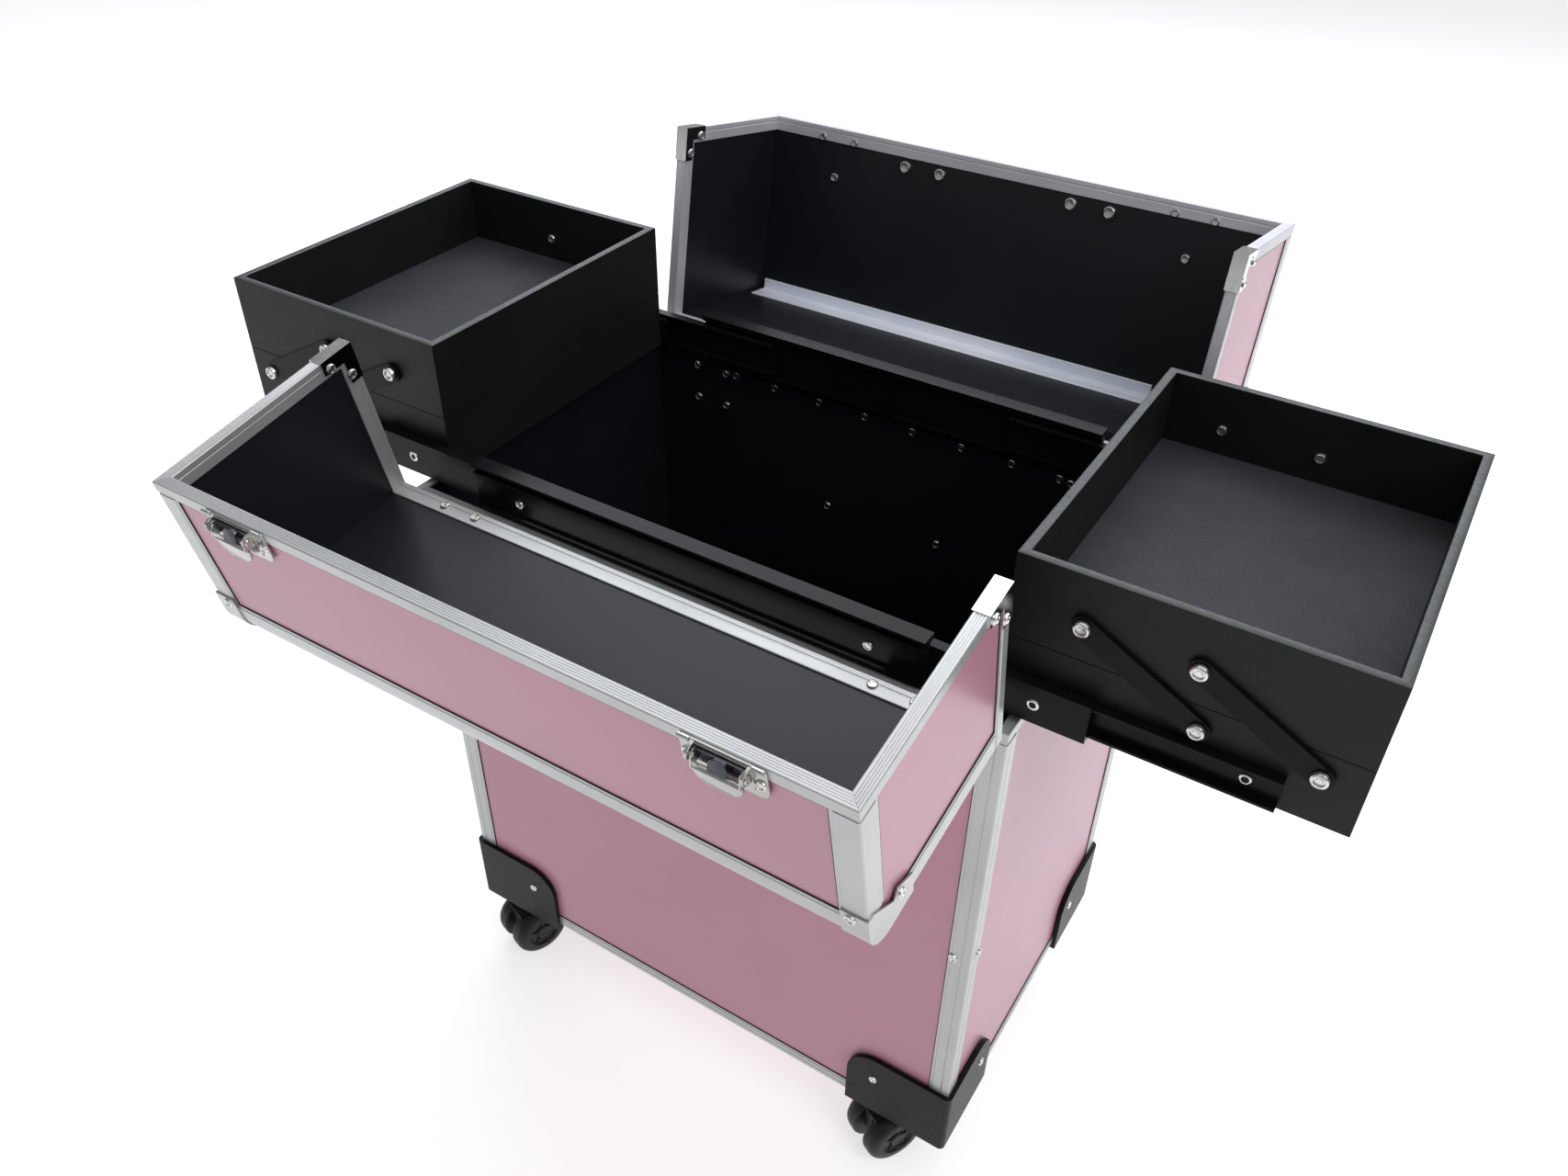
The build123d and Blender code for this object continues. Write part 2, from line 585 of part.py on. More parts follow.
def make_hinges(lid, at_x):
    """Three-knuckle hinges outside the case: the body holds the outer knuckles and the pin."""
    gap = 0.4
    leaf_t, leaf_h = 2.0, 18.0
    third = HINGE_W / 3
    axis_y, face = lid.sy * HINGE_Y, lid.back
    leaf_ys = (face, face + lid.sy * leaf_t)
    for sx in (-1, 1):
        x0 = sx * at_x - HINGE_W / 2
        body_leaf = block((x0, x0 + HINGE_W), leaf_ys, (RIM_Z - 1 - leaf_h, RIM_Z - 1))
        lid_leaf = block((x0, x0 + HINGE_W), leaf_ys, (LID_Z0 + 1, LID_Z0 + 1 + leaf_h))
        for index, start in enumerate((x0, x0 + third, x0 + 2 * third)):
            xs = (start + gap / 2, start + third - gap / 2)
            knuckle = rod((xs[0], axis_y, HINGE_Z), X, KNUCKLE_R, xs[1] - xs[0])
            if index == 1:
                knuckle += block(xs, (axis_y, face), (HINGE_Z, HINGE_Z + KNUCKLE_R))
                knuckle -= rod((xs[0] - 1, axis_y, HINGE_Z), X, HINGE_PIN_R + RUN_FIT, third + 2)
                lid_leaf += knuckle
            else:
                knuckle += block(xs, (axis_y, face), (HINGE_Z - KNUCKLE_R, HINGE_Z))
                knuckle -= rod((xs[0] - 1, axis_y, HINGE_Z), X, HINGE_PIN_R, third + 2)
                body_leaf += knuckle
        add("body_hinge_leaves", [body_leaf, rod((x0, axis_y, HINGE_Z), X, HINGE_PIN_R, HINGE_W)])
        lid.add(f"{lid.name}_hinge_leaves", [lid_leaf])


def make_latches(lid):
    """Key latches: a riveted base with two ears, and a lever that turns on a pin between them."""
    base_t, lever_w, ear_t, ear_gap = 1.5, 24.0, 1.4, 0.4
    base_half, rivet_x = 20.5, 17.0
    pin_r, eye_r = 1.0, 3.0
    pivot_y, pivot_z = lid.from_split(5.0), LID_Z1 + base_t + 0.5 + eye_r
    for side, sx in SIDES.items():
        mid = sx * LATCH_X
        base_ys = (lid.from_split(1), lid.from_split(20))
        base = block((mid - base_half, mid + base_half), base_ys, (LID_Z1, LID_Z1 + base_t))
        for s in (-1, 1):
            ear_x = mid + s * (lever_w / 2 + ear_gap)
            ys, zs = (lid.from_split(2), lid.from_split(8)), (LID_Z1, pivot_z + eye_r)
            ear = block((ear_x, ear_x + s * ear_t), ys, zs)
            base += ear - rod((ear_x - 3 * s, pivot_y, pivot_z), X * s, pin_r, ear_t + 6)
            rivet_at = (mid + s * rivet_x, lid.from_split(11), LID_Z1 + base_t)
            lid.add("latch_bases", [head("rivet", rivet_at, Z)])
        pin_half = lever_w / 2 + ear_gap + ear_t
        pin = rod((mid - pin_half, pivot_y, pivot_z), X, pin_r, 2 * pin_half)
        lid.add("latch_bases", [base, pin])
        xs = (mid - lever_w / 2, mid + lever_w / 2)
        lever = block(xs, (pivot_y, lid.from_split(22)), (pivot_z - eye_r, pivot_z + eye_r))
        tip = lever.edges().filter_by(Axis.Z).sort_by(Axis.Y)
        lever = fillet(tip[:2] if lid.sy < 0 else tip[2:], 6.0)
        lever += rod((xs[0], pivot_y, pivot_z), X, eye_r, lever_w)
        lever -= rod((xs[0] - 1, pivot_y, pivot_z), X, pin_r + RUN_FIT, lever_w + 2)
        lid.add(f"latch_lever_{side}", [lever])


def make_catches(lid):
    """Strike plates for the latches on the outside of the rear lid."""
    for sx in (-1, 1):
        mid = sx * CATCH_X
        plate = block((mid - 20, mid + 20), (lid.from_split(1), lid.from_split(16)), (LID_Z1, LID_Z1 + 1.5))
        hook = block((mid - 9, mid + 9), (lid.from_split(1), lid.from_split(4)), (LID_Z1, LID_Z1 + 5))
        lid.add("latch_catches", [plate + hook])


def make_carry_handle(lid):
    """Carry handle on the lid top: two riveted feet and a bail that turns in them."""
    plate_t, axis_lift = 3.0, 8.0
    eye_r, pin_r, arm_half_t, grip_r = 6.0, 3.0, 3.4, 7.0
    axis_y, axis_z = lid.from_split(17.0), LID_Z1 + axis_lift
    ear = (62.0, 69.0)
    arm_x = (70.0, 78.0)
    bail = None
    for sx in (-1, 1):
        foot = block(
            (sx * (HANDLE_FOOT_X - 21), sx * (HANDLE_FOOT_X + 21)), (axis_y - 8, axis_y + 8), (LID_Z1, LID_Z1 + plate_t)
        )
        foot += block((sx * ear[0], sx * ear[1]), (axis_y - eye_r, axis_y + eye_r), (LID_Z1, axis_z))
        foot += rod((sx * ear[0], axis_y, axis_z), X * sx, eye_r, ear[1] - ear[0])
        foot -= rod((sx * (ear[0] - 1), axis_y, axis_z), X * sx, pin_r + RUN_FIT, ear[1] - ear[0] + 2)
        lid.add("carry_handle_feet", [foot])
        arm = block(
            (sx * arm_x[0], sx * arm_x[1]), (axis_y, axis_y + lid.sy * HANDLE_REACH),
            (axis_z - arm_half_t, axis_z + arm_half_t),
        )
        arm += rod((sx * arm_x[0], axis_y, axis_z), X * sx, arm_half_t, arm_x[1] - arm_x[0])
        arm += rod((sx * (ear[0] - 1.5), axis_y, axis_z), X * sx, pin_r, arm_x[1] - ear[0] + 1.5)
        bail = arm if bail is None else bail + arm
    grip_y = axis_y + lid.sy * HANDLE_REACH
    bail += rod((-arm_x[1], grip_y, axis_z), X, grip_r, 2 * arm_x[1])
    hang = Axis((0, axis_y, axis_z), (1, 0, 0))
    lid.add("carry_handle", [bail.rotate(hang, HANDLE_HANG)])


# ---- pull handle --------------------------------------------------------------------------
def make_pull_handle():
    """Telescopic pull handle on the back: guide tubes, brackets, a brace, stays and a grip."""
    tube_wall = 1.5
    block_z = (RIM_Z - 72, RIM_Z - 56)
    grip_z = (RIM_Z - 55.5, RIM_Z - 37)
    tube_z = (BODY_Z0 + 62, block_z[0])
    tube_y = (HALF_D + 9, HALF_D + 9 + GUIDE_D)
    mid_y = sum(tube_y) / 2
    guides = []
    stays = []
    for sx in (-1, 1):
        mid = sx * GUIDE_X
        xs = (mid - GUIDE_W / 2, mid + GUIDE_W / 2)
        hollow_xs = (xs[0] + tube_wall, xs[1] - tube_wall)
        hollow_ys = (tube_y[0] + tube_wall, tube_y[1] - tube_wall)
        tube = block(xs, tube_y, tube_z) - block(hollow_xs, hollow_ys, (tube_z[0] - 1, tube_z[1] + 1))
        bracket = block((mid - 20, mid + 20), (HALF_D, tube_y[1] + 3), block_z)
        bracket += block((mid - 20, mid + 20), (HALF_D, HALF_D + 4), (block_z[0], RIM_Z - 5))
        bracket -= block(hollow_xs, hollow_ys, (block_z[0] - 1, block_z[1] + 1))
        foot = block((mid - 15, mid + 15), (HALF_D, tube_y[1] + 2), (BODY_Z0 + 58, BODY_Z0 + 62))
        foot += block(xs, (HALF_D, tube_y[0]), (BODY_Z0 + 62, BODY_Z0 + 86))
        guides += [tube, bracket, foot]
        stay_xs = (mid - STAY_W / 2, mid + STAY_W / 2)
        stay_ys = (mid_y - STAY_D / 2, mid_y + STAY_D / 2)
        stays.append(block(stay_xs, stay_ys, (BODY_Z0 + 70, grip_z[0])))
    brace_xs = (GUIDE_W / 2 - GUIDE_X, GUIDE_X - GUIDE_W / 2)
    guides.append(block(brace_xs, (HALF_D, HALF_D + 12), (RIM_Z - 103, RIM_Z - 84)))
    grip = block((-GUIDE_X - 14, GUIDE_X + 14), (mid_y - 2.5 - STAY_D / 2, mid_y + 13.5), grip_z)
    grip = fillet(grip.edges().filter_by(Axis.X).sort_by(Axis.Y)[2:], 5.0)
    add("pull_handle_guides", guides)
    add("pull_handle_stays", stays)
    add("pull_handle_grip", [grip])


# ---- casters ------------------------------------------------------------------------------
def make_casters():
    """Twin-wheel swivel casters under the corner brackets, trailing to the front."""
    flange_z = BODY_Z0 - BRACKET_T - 0.4
    web_half = WHEEL_X - 0.6
    half_w = WHEEL_X + WHEEL_T
    wheel_at = Vector(0, -CASTER_TRAIL, WHEEL_R)

    def along_axle(radius, half_length):
        return rod(wheel_at - X * half_length, X, radius, 2 * half_length)

    fender = along_axle(WHEEL_R + 3.0, WHEEL_X + 5.0) - along_axle(WHEEL_R + 1.0, half_w)
    web = along_axle(WHEEL_R + 1.5, web_half)
    above_axle = block((-50, 50), (-CASTER_TRAIL - 14, 50), (WHEEL_R, WHEEL_R * 4))
    neck = rod((0, 0, WHEEL_R + 6), Z, 8.0, flange_z - WHEEL_R - 6) - along_axle(WHEEL_R + 1.5, half_w + 5)
    flange = rod((0, 0, flange_z - 1.6), Z, 14.0, 1.6)
    stem = rod((0, 0, flange_z), Z, STEM_R, BRACKET_T + 0.1)
    hood = (fender + web) & above_axle
    hood += along_axle(12.0, web_half)
    hood += neck + flange + stem
    hood -= along_axle(AXLE_R, half_w)
    axle = along_axle(AXLE_R, half_w - 3)
    wheels = []
    for s in (-1, 1):
        wheel = rod(wheel_at + X * (s * WHEEL_X), X * s, WHEEL_R, WHEEL_T)
        outer_rim = wheel.edges().filter_by(GeomType.CIRCLE).sort_by(Axis.X)
        wheel = fillet(outer_rim[-1] if s > 0 else outer_rim[0], 7.5)
        wheel -= rod(wheel_at + X * (s * (half_w - 2.5)), X * s, 11.0, 5)
        wheel -= rod(wheel_at + X * (s * (WHEEL_X - 1)), X * s, AXLE_R + RUN_FIT, WHEEL_T + 2)
        wheels.append(wheel)
    places = [(sx, sy) for sx in (-1, 1) for sy in (-1, 1)]
    for index, (sx, sy) in enumerate(places, 1):
        place = Pos(sx * CASTER_AT[0], sy * CASTER_AT[1], 0) * Rot(0, 0, CASTER_TURN[index - 1])
        add(f"caster_hood_{index}", [place * hood, place * axle])
        add(f"caster_wheels_{index}", [place * wheel for wheel in wheels])


def main():
    make_body()
    make_body_frame()
    make_corner_brackets()
    make_body_fasteners()
    make_carriers()
    make_slides()
    make_trays()
    make_lids()
    make_pull_handle()
    make_casters()
    os.makedirs("parts", exist_ok=True)
    for name, solids in nodes.items():
        flat = []
        for item in solids:
            flat += item.solids()
        export_step(Compound(children=flat), f"parts/{name}.step")
    print(len(nodes), "nodes")


main()
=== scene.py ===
import bpy
import bmesh
import json
import math
from mathutils import Matrix, Vector

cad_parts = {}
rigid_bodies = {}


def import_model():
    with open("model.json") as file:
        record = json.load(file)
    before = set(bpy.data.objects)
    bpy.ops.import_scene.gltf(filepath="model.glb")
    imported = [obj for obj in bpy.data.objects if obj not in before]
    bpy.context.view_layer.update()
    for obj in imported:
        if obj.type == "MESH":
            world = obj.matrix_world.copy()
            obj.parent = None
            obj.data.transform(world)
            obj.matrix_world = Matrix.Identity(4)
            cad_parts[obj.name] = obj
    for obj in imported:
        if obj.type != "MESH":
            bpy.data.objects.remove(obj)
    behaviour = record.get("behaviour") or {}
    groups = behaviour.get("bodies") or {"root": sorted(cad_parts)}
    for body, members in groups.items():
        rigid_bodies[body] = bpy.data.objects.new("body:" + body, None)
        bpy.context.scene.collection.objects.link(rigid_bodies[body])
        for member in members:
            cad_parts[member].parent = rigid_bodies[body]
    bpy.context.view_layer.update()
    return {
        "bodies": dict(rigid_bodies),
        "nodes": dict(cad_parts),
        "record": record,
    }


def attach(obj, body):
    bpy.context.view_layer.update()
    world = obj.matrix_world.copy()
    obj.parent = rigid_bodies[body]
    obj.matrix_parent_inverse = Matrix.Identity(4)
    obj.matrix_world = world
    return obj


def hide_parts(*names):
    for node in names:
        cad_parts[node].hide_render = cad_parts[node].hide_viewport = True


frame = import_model()

# ---- dimensions in millimetres, as in the part, with y counted from the middle of the body -----
HALF_W, HALF_D = 200.0, 126.0           # half the body's width and depth
Y_OFFSET = -4.55                        # the middle of the body, from the origin of the frame
BODY_Z0, RIM_Z = 53.0, 430.0            # underside and rim of the body
LID_Z0, LID_Z1 = 430.5, 559.5           # rim and top of a shut lid
SKIN, WALL, RIM_W = 1.2, 6.0, 7.2       # extrusion's wall, lined board, channel on a board's edge
RIM_LEG, RIM_INNER_LEG = 8.0, 10.5      # legs of that channel
CORNER_LEG, SILL_LEG = 14.0, 10.0       # legs of the corner and bottom extrusions
LID_R, LID_ROUND_LEG = 17.0, 25.5       # rounded extrusion on a lid's long outer edge
STRIP_X, STRIP_LEGS = (-190.0, 138.0), (20.0, 9.0)    # angle strip inside the rear lid
HINGE_Y, HINGE_Z = 133.2, 429.2
# each lid: its side of the case, its depth from hinge to split, its angle from shut
LIDS = {"front_lid": (-1, 109.5, 100.8), "rear_lid": (1, 141.5, 100.2)}
SLIDE_Z = RIM_Z + 16.0                  # middle of the slides
# each slide member's rivets: place along x and y, height
SLIDE_RIVETS = {"mid_slides": (206.0, 116.5, 0.6), "inner_slides": (307.0, 109.0, 1.3)}
TRAY_X, TRAY_HALF_D = (183.6, 355.6), 107.5
TRAY_WALL, TRAY_TOP = 5.0, 523.0
LATCH_X = 140.0
LATCH_PIVOT = 5.0                       # from the lid's split, and above the lid's top
SWIVEL, CASTER_TRAIL = (163.0, 96.0), 21.0
AXLE_Z, WHEEL_IN, SPOKES = 22.0, 4.6, 5
# each caster: its side along x and y, its turn
CASTERS = ((-1, -1, -18.0), (-1, 1, 12.0), (1, -1, -28.0), (1, 1, -20.0))
BOLT_HEAD, SCREW_HEAD, PIVOT_R = (4.6, 2.4), (3.4, 1.6), 2.5    # heads: radius, height
RIVET_R, SLIDE_RIVET_R = 2.9, 3.3
HEAD_LIMIT = 4.0                        # heads are lower than this, pivots are longer
SHARP = math.radians(30)                # edges shaded sharp above this angle
BEVEL_ANGLE = math.radians(40)
X, Y, Z = Vector((1, 0, 0)), Vector((0, 1, 0)), Vector((0, 0, 1))


def opened(sy, angle):
    """Turn that opens a shut lid about its hinge."""
    hinge = Vector((0, sy * HINGE_Y, HINGE_Z))
    turn = Matrix.Rotation(math.radians(-sy * angle), 4, "X")
    return Matrix.Translation(hinge) @ turn @ Matrix.Translation(-hinge)


# ---- shader helpers ----------------------------------------------------------------------------
NOISE_LOW, NOISE_HIGH = 0.3, 0.7        # where most of a noise texture's values lie
BROAD = 14.0                            # scale of the slow variation in colour
BUMP = 0.35


def material(name, color, rough, metal=0.0, spec=0.5):
    mat = bpy.data.materials.new(name)
    mat.use_nodes = True
    bsdf = mat.node_tree.nodes["Principled BSDF"]
    bsdf.inputs["Base Color"].default_value = (*color, 1)
    bsdf.inputs["Roughness"].default_value = rough
    bsdf.inputs["Metallic"].default_value = metal
    bsdf.inputs["Specular IOR Level"].default_value = spec
    return mat, mat.node_tree, bsdf


def object_coords(tree, scale=(1, 1, 1)):
    coords = tree.nodes.new("ShaderNodeTexCoord")
    mapping = tree.nodes.new("ShaderNodeMapping")
    mapping.inputs["Scale"].default_value = scale
    tree.links.new(coords.outputs["Object"], mapping.inputs["Vector"])
    return mapping.outputs["Vector"]


def noise(tree, vector, scale, detail):
    node = tree.nodes.new("ShaderNodeTexNoise")
    node.inputs["Scale"].default_value = scale
    node.inputs["Detail"].default_value = detail
    node.inputs["Roughness"].default_value = 0.6
    tree.links.new(vector, node.inputs["Vector"])
    return node.outputs["Fac"]


def spread(tree, value, low, high):
    """Noise stretched over a range of values."""
    node = tree.nodes.new("ShaderNodeMapRange")
    node.inputs["From Min"].default_value = NOISE_LOW
    node.inputs["From Max"].default_value = NOISE_HIGH
    node.inputs["To Min"].default_value = low
    node.inputs["To Max"].default_value = high
    tree.links.new(value, node.inputs["Value"])
    return node.outputs["Result"]


def tint(tree, value, dark, light):
    """Noise turned into a colour between two."""
    ramp = tree.nodes.new("ShaderNodeValToRGB")
    ramp.color_ramp.elements[0].position = NOISE_LOW
    ramp.color_ramp.elements[1].position = NOISE_HIGH
    ramp.color_ramp.elements[0].color = (*dark, 1)
    ramp.color_ramp.elements[1].color = (*light, 1)
    tree.links.new(value, ramp.inputs["Fac"])
    return ramp.outputs["Color"]


def bump(tree, bsdf, value, distance):
    node = tree.nodes.new("ShaderNodeBump")
    node.inputs["Strength"].default_value = BUMP
    node.inputs["Distance"].default_value = distance
    tree.links.new(value, node.inputs["Height"])
    tree.links.new(node.outputs["Normal"], bsdf.inputs["Normal"])


def grained(name, dark, light, rough, grain, depth, metal=0.0, spec=0.5, stretch=(1, 1, 1)):
    """A finish whose colour, roughness and surface all vary finely."""
    mat, tree, bsdf = material(name, light, rough[0], metal, spec)
    vector = object_coords(tree, stretch)
    fine = noise(tree, vector, grain, 4.0)
    broad = noise(tree, object_coords(tree), BROAD, 2.0)
    tree.links.new(tint(tree, broad, dark, light), bsdf.inputs["Base Color"])
    tree.links.new(spread(tree, fine, *rough), bsdf.inputs["Roughness"])
    bump(tree, bsdf, fine, depth)
    return mat


# finishes of the record's slots, then the ones that only detail pieces have
MATS = {
    "pink_board": grained(
        "pink laminate", (0.470, 0.220, 0.292), (0.495, 0.235, 0.310),
        rough=(0.28, 0.36), grain=900, depth=0.00003, spec=0.45,
    ),
    "black_lining": grained(
        "black lining", (0.0080, 0.0090, 0.0118), (0.0108, 0.0120, 0.0155),
        rough=(0.30, 0.40), grain=700, depth=0.00004, spec=0.33,
    ),
    "aluminium": grained(
        "brushed aluminium", (0.44, 0.445, 0.445), (0.51, 0.515, 0.515),
        rough=(0.28, 0.38), grain=260, depth=0.00002, metal=0.5, stretch=(0.05, 1, 1),
    ),
    "black_moulding": grained(
        "black moulding", (0.0040, 0.0037, 0.0036), (0.0062, 0.0058, 0.0057),
        rough=(0.34, 0.46), grain=500, depth=0.00006, spec=0.14,
    ),
    "rivet_steel": grained(
        "zinc rivets", (0.60, 0.60, 0.58), (0.74, 0.74, 0.72),
        rough=(0.18, 0.30), grain=400, depth=0.00003, metal=1.0,
    ),
    "black_steel": grained(
        "black steel", (0.0042, 0.0044, 0.0044), (0.0064, 0.0068, 0.0068),
        rough=(0.22, 0.32), grain=600, depth=0.00003, spec=0.11,
    ),
    "bright_steel": grained(
        "bright steel", (0.42, 0.42, 0.415), (0.50, 0.50, 0.495),
        rough=(0.26, 0.36), grain=300, depth=0.00002, metal=0.85,
    ),
    "chrome": grained(
        "chrome", (0.52, 0.52, 0.52), (0.62, 0.62, 0.61),
        rough=(0.10, 0.18), grain=200, depth=0.00002, metal=1.0,
    ),
    "tray_board": grained(
        "black tray board", (0.0080, 0.0087, 0.0084), (0.0108, 0.0118, 0.0112),
        rough=(0.40, 0.54), grain=800, depth=0.00005, spec=0.2,
    ),
    "tray_lining": grained(
        "tray lining", (0.026, 0.028, 0.032), (0.038, 0.040, 0.046),
        rough=(0.62, 0.85), grain=900, depth=0.00025, spec=0.25,
    ),
    "wheel_rubber": grained(
        "wheel rubber", (0.0060, 0.0060, 0.0060), (0.0095, 0.0095, 0.0095),
        rough=(0.35, 0.5), grain=400, depth=0.00006, spec=0.3,
    ),
}
DETAIL = {
    # painted shade: dark strips beside the extrusions' legs, standing in for the shadow each leg's
    # step casts on the panel
    "painted_shade": grained(
        "painted shade line", (0.020, 0.017, 0.018), (0.032, 0.028, 0.030),
        rough=(0.5, 0.7), grain=300, depth=0.00004, spec=0.2,
    ),
    # painted highlight: a lighter band on the trays' top edges, standing in for the light from
    # above
    "edge": grained(
        "board edge with painted highlight", (0.022, 0.024, 0.022), (0.038, 0.041, 0.038),
        rough=(0.4, 0.6), grain=500, depth=0.00004,
    ),
    "nickel": grained(
        "satin nickel", (0.42, 0.42, 0.40), (0.50, 0.50, 0.48),
        rough=(0.20, 0.28), grain=300, depth=0.00002, metal=0.95,
    ),
    # painted light: a near-white, bluish copy of the aluminium for the angle strip inside the rear
    # lid
    "lit_strip": grained(
        "anodised strip with painted light", (0.80, 0.84, 0.94), (0.90, 0.93, 1.0),
        rough=(0.34, 0.44), grain=260, depth=0.00002, metal=0.15, stretch=(0.05, 1, 1),
    ),
    # painted light: a lighter, bluer copy of the extrusion aluminium, used on the rear lid only
    "lit_lid_aluminium": grained(
        "satin aluminium with painted light", (0.56, 0.55, 0.59), (0.66, 0.65, 0.69),
        rough=(0.36, 0.46), grain=260, depth=0.00002, metal=0.35, stretch=(0.05, 1, 1),
    ),
    "dark_chrome": grained(
        "shaded chrome", (0.060, 0.060, 0.072), (0.10, 0.10, 0.115),
        rough=(0.18, 0.30), grain=300, depth=0.00003, metal=1.0,
    ),
}


def soften(obj, width):
    """Small bevel along the sharp edges, its width in millimetres."""
    soft = obj.modifiers.new("edges", "BEVEL")
    soft.width = width * 0.001
    soft.segments = 2
    soft.limit_method = "ANGLE"
    soft.angle_limit = BEVEL_ANGLE
    soft.use_clamp_overlap = True
    return soft


def body_of(node):
    """Name of the body that carries a node."""
    empty = frame["nodes"][node].parent
    return next(name for name, at in frame["bodies"].items() if at == empty)


# ---- the part's own nodes, each in its slot's finish -------------------------------------------
finish_of = {s["node"]: s["material_slot"] for s in frame["record"]["subparts"]}
for name, obj in frame["nodes"].items():
    obj.data.materials.clear()
    obj.data.materials.append(MATS[finish_of[name]])
    for poly in obj.data.polygons:
        poly.use_smooth = True
    soften(obj, 0.4).harden_normals = True


# ---- shape makers ------------------------------------------------------------------------------
class Shape:
    """A mesh gathered in millimetres; the pieces of a lid are drawn with the lid shut."""

    def __init__(self):
        self.verts, self.faces = [], []

    def loft(self, rings):
        """Closed solid through rings of equal length."""
        first, count = len(self.verts), len(rings[0])
        for ring in rings:
            self.verts += ring
        for level in range(len(rings) - 1):
            low, high = first + level * count, first + (level + 1) * count
            for i in range(count):
                j = (i + 1) % count
                self.faces.append((low + i, low + j, high + j, high + i))
        self.faces.append(tuple(range(first + count - 1, first - 1, -1)))
        last = first + (len(rings) - 1) * count
        self.faces.append(tuple(range(last, last + count)))

    def bar(self, start, end, u_dir, v_dir, profile, cut_start=(0, 0), cut_end=(0, 0)):
        """Straight extrusion; each end is sloped by its own cut along u and v."""
        start, end = Vector(start), Vector(end)
        along = (end - start).normalized()
        rings = []
        for base, cut, sign in ((start, cut_start, 1), (end, cut_end, -1)):
            rings.append([
                base + u_dir * u + v_dir * v + along * (sign * (cut[0] * u + cut[1] * v))
                for u, v in profile
            ])
        self.loft(rings)

    def lathe(self, centre, normal, profile, steps=24):
        """Solid of revolution standing on a face, from a profile of (radius, height)."""
        normal = Vector(normal).normalized()
        side = normal.orthogonal().normalized()
        other = normal.cross(side)
        angles = [2 * math.pi * i / steps for i in range(steps)]
        rings = []
        for radius, height in profile:
            rings.append([
                Vector(centre) + normal * height
                + (side * math.cos(a) + other * math.sin(a)) * max(radius, 0.01)
                for a in angles
            ])
        self.loft(rings)

    def build(self, name, mat, slot, body, lid=None, replaces=(), bevel=0.0):
        """Makes the object, opens it with its lid and hangs it on its body."""
        turn = opened(LIDS[lid][0], LIDS[lid][2]) if lid else Matrix.Identity(4)
        mesh = bpy.data.meshes.new(name)
        points = [(turn @ v + Vector((0, Y_OFFSET, 0))) * 0.001 for v in self.verts]
        mesh.from_pydata(points, [], self.faces)
        bm = bmesh.new()
        bm.from_mesh(mesh)
        bmesh.ops.recalc_face_normals(bm, faces=bm.faces)
        for face in bm.faces:
            face.smooth = True
        for edge in bm.edges:
            if len(edge.link_faces) == 2 and edge.calc_face_angle(0) > SHARP:
                edge.smooth = False
        bm.to_mesh(mesh)
        bm.free()
        mesh.materials.append(mat)
        obj = bpy.data.objects.new(name.replace(" ", "_"), mesh)
        bpy.context.scene.collection.objects.link(obj)
        if bevel:
            soften(obj, bevel)
        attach(obj, body)
        if replaces:
            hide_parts(*replaces)


# ---- extrusion profiles: u across the board's edge or along one leg, v along the other ---------
def ribs(u_list, half=0.28, depth=0.16):
    """Fine grooves along the top of a channel."""
    points = []
    for u in u_list:
        points += [
            (u - half, 0), (u - half / 2, depth), (u + half / 2, depth), (u + half, 0),
        ]
    return points


OUTER_LEG = [
    (SKIN, RIM_LEG), (0.4, RIM_LEG), (0.4, RIM_LEG - 1.6), (0, RIM_LEG - 1.9), (0, 0.5), (0.5, 0),
]
RIM_OPEN = OUTER_LEG + ribs((1.7, 3.0, 4.3)) + [(WALL, 0), (WALL, SKIN), (SKIN, SKIN)]
RIM_FULL = OUTER_LEG + ribs((1.7, 2.9, 4.1, 5.3)) + [
    (RIM_W - 0.5, 0), (RIM_W, 0.5), (RIM_W, 3.2), (RIM_W - 0.3, 3.4), (RIM_W - 0.3, 4.0),
    (RIM_W, 4.2), (RIM_W, RIM_INNER_LEG - 0.4), (RIM_W - 0.4, RIM_INNER_LEG),
    (WALL, RIM_INNER_LEG), (WALL, SKIN), (SKIN, SKIN),
]


def angle_profile(leg, radius, grooved=True):
    """L extrusion with a rounded outer corner, a stepped end on each leg and a groove along it."""
    quarter = [math.radians(90 * i / 8) for i in range(9)]
    arc = [(radius - radius * math.cos(a), radius - radius * math.sin(a)) for a in quarter]
    groove_at = radius + (leg - radius) * 0.35
    half = [(leg - 2.2, 0), (leg - 1.9, 0.4), (leg, 0.4), (leg, SKIN)]
    if grooved:
        half = [
            (groove_at - 0.4, 0), (groove_at - 0.2, 0.35),
            (groove_at + 0.2, 0.35), (groove_at + 0.4, 0),
        ] + half
    inner = max(radius - SKIN, 0.2)
    inner_arc = [
        (SKIN + inner - inner * math.sin(a), SKIN + inner - inner * math.cos(a)) for a in quarter
    ]
    mirrored = [(v, u) for u, v in reversed(half)]
    return mirrored + arc + half + inner_arc


def shade_line_profile(leg):
    """Painted shade: a dark strip just past the end of an extrusion's leg, against the panel,
    standing in for the shadow that the leg's step casts.
    """
    return [(leg, 0.6), (leg + 0.5, 0.6), (leg + 0.5, SKIN + 0.1), (leg, SKIN + 0.1)]


CORNER = angle_profile(CORNER_LEG, 1.2)
SMOOTH_CORNER = angle_profile(CORNER_LEG, 1.2, grooved=False)
SILL = angle_profile(SILL_LEG, 1.2)
ROUND = angle_profile(LID_ROUND_LEG, LID_R, grooved=False)


